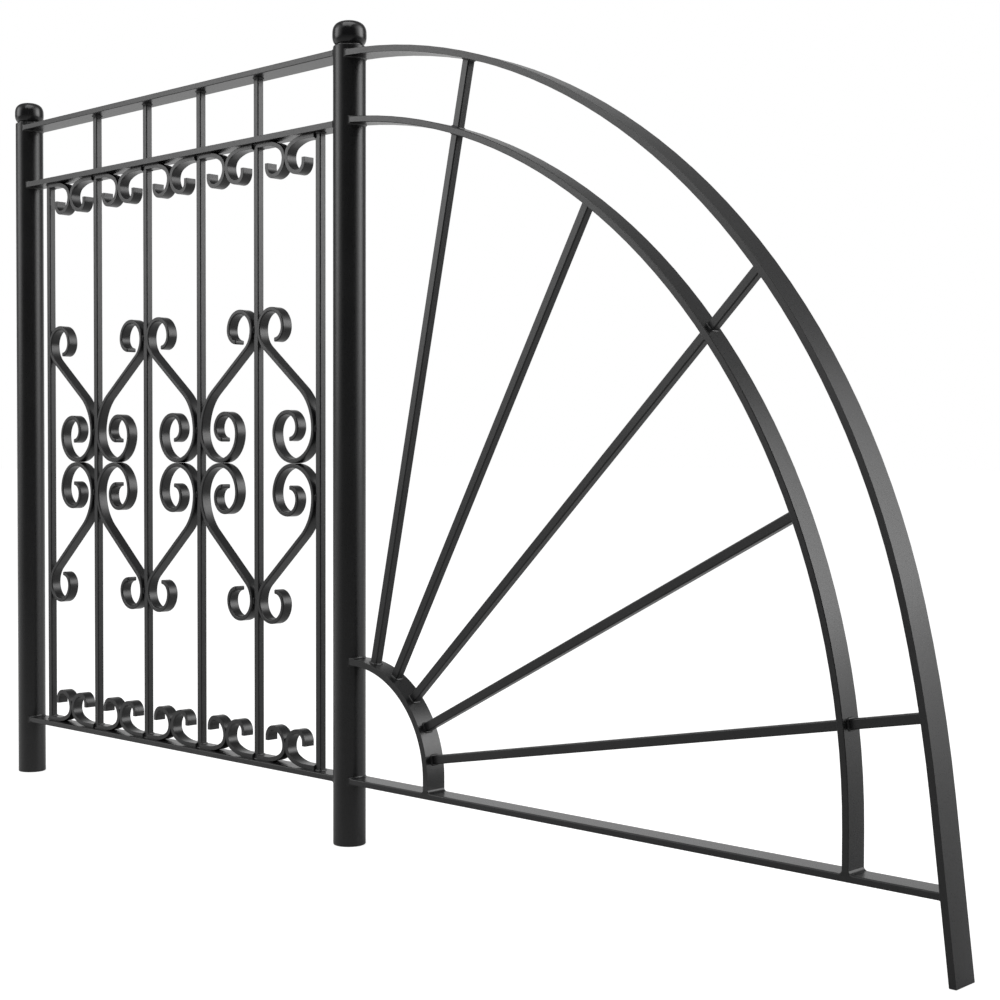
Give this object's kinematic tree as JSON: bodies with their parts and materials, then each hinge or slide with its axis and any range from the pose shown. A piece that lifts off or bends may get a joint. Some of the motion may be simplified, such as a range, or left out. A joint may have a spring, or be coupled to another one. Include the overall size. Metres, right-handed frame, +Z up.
{
  "type": "scroll railing with fan wing",
  "caption": "Black steel railing: a scroll panel between two round capped posts, with a quarter-fan wing of spokes and arcs on one side.",
  "frame": {"origin": "middle of the flat foot of the post that stands between the panel and the wing, on the ground", "axes": "+X along the railing towards the wing, +Z up, front face towards -Y"},
  "size_m": [1.6699, 0.0444, 1.065],
  "materials": {
    "tube": "satin black powder coat on round tube",
    "cap": "semi-gloss black powder coat on a cast cap",
    "flat_bar": "satin black powder coat on flat bar",
    "square_bar": "satin black powder coat on square bar",
    "strip": "satin black powder coat on forged strip"
  },
  "bodies": {
    "root": {"post_left": "tube", "post_right": "tube", "cap_left": "cap", "cap_right": "cap", "handrail": "flat_bar", "second_rail": "flat_bar", "bottom_rail": "flat_bar", "bar_1": "square_bar", "bar_2": "square_bar", "bar_3": "square_bar", "bar_4": "square_bar", "bar_5": "square_bar", "bar_6": "square_bar", "top_scrolls_1": "strip", "top_scrolls_2": "strip", "top_scrolls_3": "strip", "top_scrolls_4": "strip", "top_scrolls_5": "strip", "bottom_scrolls_1": "strip", "bottom_scrolls_2": "strip", "bottom_scrolls_3": "strip", "bottom_scrolls_4": "strip", "bottom_scrolls_5": "strip", "upper_scroll_1": "strip", "upper_scroll_2": "strip", "upper_scroll_3": "strip", "upper_scroll_4": "strip", "upper_scroll_5": "strip", "lower_scroll_1": "strip", "lower_scroll_2": "strip", "lower_scroll_3": "strip", "lower_scroll_4": "strip", "lower_scroll_5": "strip", "wing_outer_arc": "flat_bar", "wing_inner_arc": "flat_bar", "wing_hub_arc": "flat_bar", "wing_rail": "flat_bar", "spoke_1": "square_bar", "spoke_2": "square_bar", "spoke_3": "square_bar", "spoke_4": "square_bar", "spoke_5": "square_bar"}
  },
  "joints": []
}
